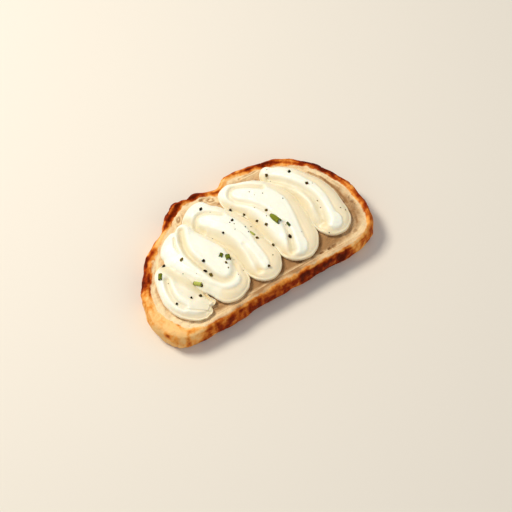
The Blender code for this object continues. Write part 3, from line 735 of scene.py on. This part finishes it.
def curl_surface(name):
    """A curl's rings, how deep in a groove each point is, and its painted warm shade on apron, lips and tip.

    From the widest line to the spine, at share r of the half-width, the height over the lip is
    (1 - r^p)^q of the crest's, less the hollows, with long fine strokes and soft lumps. On the side
    where the spoon left the curl, the top ends in a step, with a lower apron outside it. Both end
    rings lie on the spine.
    """
    curl = CURLS[name]
    seed = 100 * int(name[-1])
    base, reach, crest = curl_frame(curl, CURL_SIDE_STEPS, CURL_CAP_STEPS)
    width = np.linalg.norm(reach, axis=1)[:, None]
    way = (base[:, 1].max() - base[:, 1]) / np.ptp(base[:, 1])
    left_by = blend(-0.75, 0.05, reach @ SPOON_WAY / width[:, 0]) * blend(0.0, 0.4, way)
    ahead = np.clip(reach @ NEAR_WAY / width[:, 0], 0, 1) ** 2
    beside, round_end = curl["apron"]
    apron_width = (beside + (round_end - beside) * ahead) * (0.4 + 0.6 * way)
    edge = np.column_stack([base + reach, np.zeros(len(base))])
    torn = TORN_DEPTH * bell(edge, TORN_TIP, TORN_REACH) * rough(edge, *TORN_LUMPS, seed + 1)
    reach = reach * (1 + (EDGE_LUMP * rough(edge, *EDGE_LUMPS, seed) + torn)[:, None] / width)

    shares = 1 - np.linspace(0, 1, CURL_TOP_RINGS)[:, None, None] ** 1.5
    top = base + reach * shares
    share = shares[..., 0]
    dome = (1 - share**DOME_POWER) ** DOME_ROUNDNESS
    inner_fade = blend(1.0, 0.88, share)
    push, depth_share = hollows(curl, top)
    solid = np.dstack([top, np.zeros(top.shape[:2])])
    inside = (1 - share) * width[:, 0] + 0.25 * rough(solid, *APRON_LUMPS, seed + 3)
    apron = left_by * blend(1.1, -1.1, inside - apron_width)
    bends = STROKE_BEND * ripple(solid, BEND_LENGTH, seed + 9)
    stroke = np.dstack([inside / STROKE_SPACING + bends, solid[..., :2] * 0.05])
    relief = TOP_LUMP * rough(solid, *TOP_LUMPS, seed + 5) + STROKE_DEPTH * ripple(stroke, 1.0, seed + 13)
    relief -= push + APRON_STEP * apron * (1 - 0.5 * depth_share)
    height = CRUMB_HEIGHT + LIP_HEIGHT + (crest - LIP_HEIGHT) * dome + relief * inner_fade

    foot = curl_foot(base, reach, width)
    rings = np.concatenate([foot, np.dstack([top, height])])
    hollow = np.concatenate([np.zeros(foot.shape[:2]), depth_share * inner_fade])
    # The side mark is painted warm shade: full on the lips and aprons on the side away from the key light,
    # part on the other lips, round the torn tip, and less on the flap beside it
    lip_shade = np.broadcast_to(LIP_SHADE + (1 - LIP_SHADE) * left_by, foot.shape[:2])
    side = np.concatenate([lip_shade, np.maximum(apron, LIP_SHADE * blend(1.6, 0.2, inside))])
    side = np.maximum(side, TIP_SHADE * bell(rings, TORN_TIP, TIP_REACH))
    hollow *= 1 - 0.8 * bell(rings, TORN_TIP, TORN_REACH * 1.5)
    side *= 1 - 0.7 * bell(rings, TIP_FLAP, TORN_REACH)
    return rings, {"hollow": hollow, "side": side}


def to_metres(rings):
    """Turns the drawing's millimetres into metres, once the drawing is seen to fit the solids."""
    low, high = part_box("bread")
    drawn = np.array([PLAN_LENGTH, PLAN_DEPTH]) * MILLIMETRE
    if np.any(np.abs((np.array(high) - np.array(low))[:2] / drawn - 1) > 0.02):
        raise ValueError("the plan is drawn for a slice of another size")
    return rings * MILLIMETRE


def linked(name, data):
    """An object of that data, put in the scene."""
    thing = bpy.data.objects.new(name, data)
    bpy.context.scene.collection.objects.link(thing)
    return thing


def marked_mesh(name, points, faces, marks):
    """A mesh of points in plan millimetres, with a value at every point for each mark."""
    mesh = bpy.data.meshes.new(name)
    mesh.from_pydata(to_metres(points).tolist(), [], faces.tolist())
    for label, values in marks.items():
        layer = mesh.attributes.new(label, "FLOAT", "POINT")
        layer.data.foreach_set("value", values.astype(np.float32).ravel())
    return mesh


def closed_skin(name, rings, marks):
    """A closed mesh over rings whose first and last are points or seams, with a value for each mark.

    Neighbouring rings are joined by quads that face outwards, and what lies in one place is welded.
    """
    count, around = rings.shape[:2]
    index = np.arange(count * around).reshape(count, around)
    ahead = np.roll(index, -1, axis=1)
    quads = np.stack([index[:-1], ahead[:-1], ahead[1:], index[1:]], axis=-1).reshape(-1, 4)
    mesh = marked_mesh(name, rings.reshape(-1, 3), quads, marks)
    shape = bmesh.new()
    shape.from_mesh(mesh)
    bmesh.ops.remove_doubles(shape, verts=shape.verts, dist=WELD_DISTANCE)
    shape.to_mesh(mesh)
    shape.free()
    mesh.shade_smooth()
    return linked(name, mesh)


def fit_piece(piece, material, slot, *nodes):
    """Gives a piece its material, hangs it on the root, and hides the nodes it replaces; slot is not used."""
    piece.data.materials.append(material)
    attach(piece, "root")
    if nodes:
        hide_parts(*nodes)
    return piece


def surface_tree(pieces):
    """A tree of the pieces' triangles, to find the surface under a place."""
    points, faces = [], []
    for piece in pieces:
        mesh = piece.data
        co = np.zeros(len(mesh.vertices) * 3, np.float32)
        mesh.vertices.foreach_get("co", co)
        mesh.calc_loop_triangles()
        triangles = np.zeros(len(mesh.loop_triangles) * 3, np.int32)
        mesh.loop_triangles.foreach_get("vertices", triangles)
        faces.append(triangles.reshape(-1, 3) + sum(len(part) for part in points))
        points.append(co.reshape(-1, 3))
    return BVHTree.FromPolygons(np.vstack(points).tolist(), np.vstack(faces).tolist())


def surface_point(tree, x, y):
    """The top of the cheese at a place on the plan in millimetres, and its normal, as arrays."""
    place = plan_to_slice((x, y)) * MILLIMETRE
    point, normal, _, _ = tree.ray_cast(Vector((*place, 0.1)), Vector((0, 0, -1)))
    return (None, None) if point is None else (np.array(point) / MILLIMETRE, np.array(normal))


def ball(subdivisions):
    """The points and triangles of a round ball of radius 1, made of even triangles."""
    shape = bmesh.new()
    bmesh.ops.create_icosphere(shape, subdivisions=subdivisions, radius=1)
    points = np.array([vert.co[:] for vert in shape.verts])
    faces = np.array([[vert.index for vert in face.verts] for face in shape.faces])
    shape.free()
    return points, faces


def turned(points, draw):
    """The points turned about three random axes, as the product of three plane turns."""
    for first, second in ((0, 1), (1, 2), (0, 2)):
        angle = draw.uniform(0, 2 * math.pi)
        turn = np.eye(3)
        turn[[first, first, second, second], [first, second, first, second]] = (
            math.cos(angle), -math.sin(angle), math.sin(angle), math.cos(angle))
        points = points @ turn
    return points


def joined_mesh(name, parts, label):
    """One mesh of many small closed shapes, each part being its points, its faces and one mark."""
    points, faces, marks = zip(*parts)
    starts = np.cumsum([0] + [len(part) for part in points])
    joined = np.vstack([part + start for part, start in zip(faces, starts)])
    values = np.concatenate([np.broadcast_to(mark, len(part)) for part, mark in zip(points, marks)])
    return linked(name, marked_mesh(name, np.vstack(points), joined, {label: values}))


def cracked_grain(points, radius, number, draw):
    """A ball's points cut back by six flat sides, roughened, stretched and turned."""
    grain = points.copy()
    for facet in turned(np.eye(3), draw):
        for side in (facet, -facet):
            over = np.clip(grain @ side - draw.uniform(*FACET_REACH), 0, None)
            grain -= over[:, None] * side
    grain *= 1 + GRAIN_ROUGHNESS * ripple(grain + 10 * number, *GRAIN_LUMPS)[:, None]
    grain *= radius * np.array([draw.uniform(*GRAIN_LONG), draw.uniform(*GRAIN_WIDE), GRAIN_HIGH])
    return turned(grain, draw)


def make_pepper(tree):
    """Cracked pepper: the coarse grains and fine specks between them, half sunk in the cheese."""
    draw = np.random.default_rng(PEPPER_SEED)
    spots = [(x, y, draw.uniform(*PEPPER_RADII)) for x, y in PEPPER]
    while len(spots) < SPECK_COUNT + len(PEPPER):
        x, y = (draw.uniform(*reach) for reach in SPECK_REACH)
        point, normal = surface_point(tree, x, y)
        if point is not None and normal[2] > LEAST_RISE:
            spots.append((x, y, draw.uniform(*SPECK_RADII)))
    fine, coarse = ball(3), ball(2)
    parts = []
    for number, (x, y, radius) in enumerate(spots):
        point, normal = surface_point(tree, x, y)
        points, faces = fine if radius > SPECK_RADII[1] else coarse
        grain = cracked_grain(points, radius, number, draw)
        parts.append((grain + point + normal * GRAIN_STAND * radius, faces, draw.uniform(0, 1)))
    return joined_mesh("cracked_pepper", parts, "shade")


def chive_tube(length, radius, slant):
    """A short hollow stem along X: once round the wall's section, outside and inside, for each angle.

    The section runs along the outside, over the rounded cut end, back along the inside and over the
    other end. The cut ends slant, and the stem is a little flattened and bent.
    """
    wall = CHIVE_WALL * radius
    outside = np.linspace(-0.5, 0.5, CHIVE_ALONG) * (length - wall)
    ends = np.linspace(math.pi / 2, -math.pi / 2, 5)
    middle = radius - wall / 2
    run = np.concatenate([outside, outside[-1] + wall / 2 * np.cos(ends), outside[::-1],
                          outside[0] - wall / 2 * np.cos(ends[::-1])])
    out = np.concatenate([
        np.full(CHIVE_ALONG, radius), middle + wall / 2 * np.sin(ends),
        np.full(CHIVE_ALONG, radius - wall), middle + wall / 2 * np.sin(ends[::-1])])
    angle = np.arange(CHIVE_AROUND) / CHIVE_AROUND * 2 * math.pi
    out, run = out[None, :], run[None, :]
    y = out * np.cos(angle)[:, None] * CHIVE_WIDE
    z = out * np.sin(angle)[:, None] * CHIVE_HIGH
    x = run + slant * z + 0.12 * np.sin(3 * angle)[:, None] * radius
    z = z - CHIVE_BEND * (x / length) ** 2 * radius
    inside = np.broadcast_to(blend(radius - 0.2 * wall, radius - wall, out), x.shape)
    index = np.arange(x.size).reshape(x.shape)
    right, down = np.roll(index, -1, axis=1), np.roll(index, -1, axis=0)
    both = np.roll(down, -1, axis=1)
    quads = np.stack([index, right, both, down], axis=-1).reshape(-1, 4)
    return np.stack([x, y, z], axis=-1).reshape(-1, 3), quads, inside.ravel()


def make_chives(tree):
    """Chopped chives: hollow stems lying on the cheese, pressed a little way in."""
    draw = np.random.default_rng(PEPPER_SEED + 1)
    parts = []
    for x, y, length, bearing, radius, pale in CHIVES:
        point, normal = surface_point(tree, x, y)
        points, faces, inside = chive_tube(length, radius, draw.uniform(-CHIVE_SLANT, CHIVE_SLANT))
        turn = math.radians(bearing)
        ahead = np.array([math.cos(turn), math.sin(turn), 0])
        ahead -= normal * (ahead @ normal)
        ahead /= np.linalg.norm(ahead)
        axes = np.array([ahead, np.cross(normal, ahead), normal])
        placed = points @ axes + point + normal * CHIVE_STAND * radius
        # The inside of each stem takes the ramp's dark end, painted shade in the hollow
        parts.append((placed, faces, pale * (1 - inside)))
    piece = joined_mesh("chopped_chives", parts, "pale")
    piece.data.shade_smooth()
    return piece


def set_inputs(tree, node, values):
    """Sets a node's inputs, by name or number, to their values, or links them to other nodes' outputs."""
    for socket, value in values.items():
        if isinstance(value, bpy.types.NodeSocket):
            tree.links.new(value, node.inputs[socket])
        else:
            node.inputs[socket].default_value = value


def new_material(name):
    """A material, its nodes, and its Principled shader."""
    material = bpy.data.materials.new(name)
    material.use_nodes = True
    return material, material.node_tree, material.node_tree.nodes["Principled BSDF"]


def add_node(tree, kind, values=None, **settings):
    """A node of that kind, with settings on the node and values or links on its inputs."""
    node = tree.nodes.new(kind)
    for setting, value in settings.items():
        setattr(node, setting, value)
    set_inputs(tree, node, values or {})
    return node


def sum_of(tree, *terms):
    """Adds up (value, factor) terms, each value a socket, a number, or the name of a mark of the mesh."""
    total = 0.0
    for value, factor in terms:
        if isinstance(value, str):
            value = add_node(tree, "ShaderNodeAttribute", attribute_name=value).outputs["Fac"]
        part = add_node(tree, "ShaderNodeMath", {0: value, 1: factor, 2: total}, operation="MULTIPLY_ADD")
        total = part.outputs[0]
    return total


def colour_ramp(tree, value, stops):
    """A colour that runs through the stops, each a place from 0 to 1 and a linear colour."""
    node = add_node(tree, "ShaderNodeValToRGB", {0: value})
    ramp = node.color_ramp
    while len(ramp.elements) < len(stops):
        ramp.elements.new(0.5)
    for element, (place, colour) in zip(ramp.elements, stops):
        element.position = place
        element.color = (*colour, 1)
    return node.outputs[0]


def mixed_colour(tree, share, first, second):
    """The first colour, going over to the second as the share goes to 1."""
    node = add_node(tree, "ShaderNodeMix", {0: share, 6: first, 7: second}, data_type="RGBA")
    return node.outputs[2]


def mottle_group():
    """Shader group: blotches of two sizes, fine grain, and scattered pits, each from 0 to 1."""
    tree = bpy.data.node_groups.new("mottle", "ShaderNodeTree")
    for way, names in (("INPUT", ("Blotch Scale", "Grain Scale")),
                       ("OUTPUT", ("Broad", "Small", "Grain", "Pits"))):
        for name in names:
            tree.interface.new_socket(name, in_out=way, socket_type="NodeSocketFloat")
    blotch, fine = tree.nodes.new("NodeGroupInput").outputs[:2]
    result = tree.nodes.new("NodeGroupOutput")
    place = tree.nodes.new("ShaderNodeTexCoord").outputs["Object"]
    small = add_node(tree, "ShaderNodeMath", {0: blotch, 1: 3.7}, operation="MULTIPLY").outputs[0]
    for name, scale, detail, roughness in (
            ("Broad", blotch, 5.0, 0.6), ("Small", small, 4.0, 0.55), ("Grain", fine, 6.0, 0.65)):
        noise = add_node(tree, "ShaderNodeTexNoise", {
            "Vector": place, "Scale": scale, "Detail": detail, "Roughness": roughness})
        tree.links.new(noise.outputs["Fac"], result.inputs[name])
    cells = add_node(tree, "ShaderNodeTexVoronoi", {"Vector": place, "Scale": fine})
    pits = add_node(tree, "ShaderNodeMapRange", {
        "Value": cells.outputs["Distance"], "From Min": 0.42, "From Max": 0.12, "To Min": 0.0, "To Max": 1.0})
    tree.links.new(pits.outputs[0], result.inputs["Pits"])
    return tree


def mottle(tree, group, blotch_scale, grain_scale):
    """Places the mottle group, and gives its outputs: broad, small, grain and pits."""
    scales = {0: blotch_scale, 1: grain_scale}
    return add_node(tree, "ShaderNodeGroup", scales, node_tree=group).outputs[:]


def bumped(tree, height, distance, strength):
    """A normal that follows a height, distance metres deep."""
    node = add_node(tree, "ShaderNodeBump", {"Height": height, "Distance": distance, "Strength": strength})
    return node.outputs[0]


def bread_material(group):
    """Toasted bread: crust from gold to burnt by its baked mark, pale crumb with painted shade in pores and
    pits.
    """
    material, tree, shader = new_material("toasted_bread")
    broad, small, grain, pits = mottle(tree, group, 95.0, 900.0)
    crust = sum_of(tree, ("baked", 1.0), (broad, 0.7), (small, 0.5), (grain, 0.3), (1.0, -0.75))
    # The crumb darkens where its pores open and in the pits: painted shade
    crumb = sum_of(tree, ("brown", 0.75), (broad, 0.5), (small, 0.4), (grain, 0.3), ("pore", 0.34),
                   (pits, 0.10), (1.0, -0.54))
    edge = sum_of(tree, ("crust", 1.0), (small, 0.6), (grain, 0.4), (1.0, -0.5))
    share = add_node(tree, "ShaderNodeMapRange", {"Value": edge, "From Min": 0.2, "From Max": 0.75})
    set_inputs(tree, shader, {
        "Base Color": mixed_colour(tree, share.outputs[0], colour_ramp(tree, crumb, CRUMB_COLOURS),
                                   colour_ramp(tree, crust, CRUST_COLOURS)),
        "Roughness": sum_of(tree, ("crust", -0.2), (grain, 0.15), (1.0, 0.8)),
        "Specular IOR Level": 0.04, "Subsurface Weight": 0.05, "Subsurface Radius": (1.0, 0.45, 0.2),
        "Subsurface Scale": 0.0015,
        "Normal": bumped(tree, sum_of(tree, (grain, 1.0), (small, 0.6), (pits, -0.35)), 0.0006, 0.7)})
    return material


def cheese_material(group):
    """Soft white cheese: cream, with warm painted shade on aprons, lips and grooves and darker in grooves,
    moist.
    """
    material, tree, shader = new_material("soft_cheese")
    broad, small, grain, _ = mottle(tree, group, 60.0, 700.0)
    # Warm painted shade from the grooves and the side mark
    warm_shade = sum_of(tree, ("hollow", 0.85), ("side", 0.62), (broad, 0.35), (1.0, -0.17))
    cream = mixed_colour(tree, warm_shade, CREAM, WARM_SHADE_CREAM)
    set_inputs(tree, shader, {
        # The hollow mark darkens grooves and dips under a neighbour: painted shade
        "Base Color": mixed_colour(tree, sum_of(tree, ("hollow", 0.5)), cream, DARK_SHADE_CREAM),
        "Roughness": sum_of(tree, (small, 0.25), (1.0, 0.28)),
        "Specular IOR Level": 0.35, "Coat Weight": 0.1, "Coat Roughness": 0.3,
        "Subsurface Weight": 0.3, "Subsurface Radius": (1.0, 0.75, 0.45), "Subsurface Scale": 0.002,
        "Normal": bumped(tree, sum_of(tree, (grain, 0.3), (small, 1.0)), 0.0002, 0.35)})
    return material


def pepper_material(group):
    """Cracked pepper: near-black husk to brown, olive and tan inner grain, one shade to each grain."""
    material, tree, shader = new_material("cracked_pepper")
    broad, small, grain, _ = mottle(tree, group, 500.0, 3000.0)
    tone = sum_of(tree, ("shade", 0.8), (broad, 0.3), (grain, 0.2), (1.0, -0.2))
    set_inputs(tree, shader, {
        "Base Color": colour_ramp(tree, tone, PEPPER_COLOURS), "Roughness": 0.7,
        "Specular IOR Level": 0.04, "Normal": bumped(tree, small, 0.0001, 0.6)})
    return material


def chive_material(group):
    """Chives: yellow-green skin, pale or deep by its mark, with lighter streaks, and painted shade inside the
    stem.
    """
    material, tree, shader = new_material("chive")
    broad, small, grain, _ = mottle(tree, group, 350.0, 2500.0)
    tone = sum_of(tree, ("pale", 0.9), (broad, 0.6), (small, 0.5), (1.0, -0.5))
    set_inputs(tree, shader, {
        "Base Color": colour_ramp(tree, tone, CHIVE_COLOURS), "Roughness": 0.45,
        "Specular IOR Level": 0.1, "Subsurface Weight": 0.1, "Subsurface Scale": 0.0008,
        "Normal": bumped(tree, grain, 0.0001, 0.4)})
    return material


def place_facing(thing, location, back):
    """Puts a camera or a light there, turned to look away from the direction back."""
    thing.location = location
    thing.rotation_euler = back.to_track_quat("Z", "Y").to_euler()


def add_camera():
    """The picture's own view: the lens, scale and height of the photograph."""
    camera = linked("camera", bpy.data.cameras.new("camera"))
    camera.data.lens = LENS
    camera.data.sensor_width = SENSOR
    camera.data.clip_start, camera.data.clip_end = CLIP_REACH
    distance = PICTURE_PIXELS * MILLIMETRES_PER_PIXEL * MILLIMETRE * LENS / SENSOR
    up, side = math.radians(VIEW_ELEVATION), math.radians(VIEW_AZIMUTH)
    back = Vector((math.sin(side) * math.cos(up), -math.cos(side) * math.cos(up), math.sin(up)))
    place_facing(camera, Vector(AIM) * MILLIMETRE + back * distance, back)
    bpy.context.scene.camera = camera


def add_stage():
    """A pale floor, a sky of even light, a large key light from the far left, and a weak fill."""
    bpy.ops.mesh.primitive_plane_add(size=FLOOR_SIZE, location=(0, 0, -FLOOR_GAP))
    floor = bpy.context.object
    floor.name = "floor"
    material, tree, shader = new_material("pale_floor")
    set_inputs(tree, shader, {"Base Color": FLOOR_COLOUR, "Roughness": 0.9})
    floor.data.materials.append(material)
    world = bpy.data.worlds.new("studio")
    world.use_nodes = True
    sky = world.node_tree.nodes["Background"]
    set_inputs(world.node_tree, sky, {"Color": SKY_COLOUR, "Strength": SKY_STRENGTH})
    bpy.context.scene.world = world
    for name, towards, distance, size, power, colour in LIGHTS:
        light = linked(name, bpy.data.lights.new(name, "AREA"))
        light.data.size = size
        light.data.energy = power
        light.data.color = colour
        direction = Vector(towards).normalized()
        place_facing(light, direction * distance, direction)
    bpy.context.scene.view_settings.view_transform = "Standard"


def main():
    """Makes every piece, dresses it, and sets the view."""
    group = mottle_group()
    bread = closed_skin("toasted_slice", *bread_surface())
    fit_piece(bread, bread_material(group), "toasted_bread", "bread")
    cheese = cheese_material(group)
    curls = []
    for name in sorted(CURLS):
        curl = closed_skin(name + "_soft", *curl_surface(name))
        curls.append(fit_piece(curl, cheese, "soft_cheese", name))
    tree = surface_tree(curls)
    fit_piece(make_pepper(tree), pepper_material(group), "pepper")
    fit_piece(make_chives(tree), chive_material(group), "chive")
    add_stage()
    add_camera()


main()
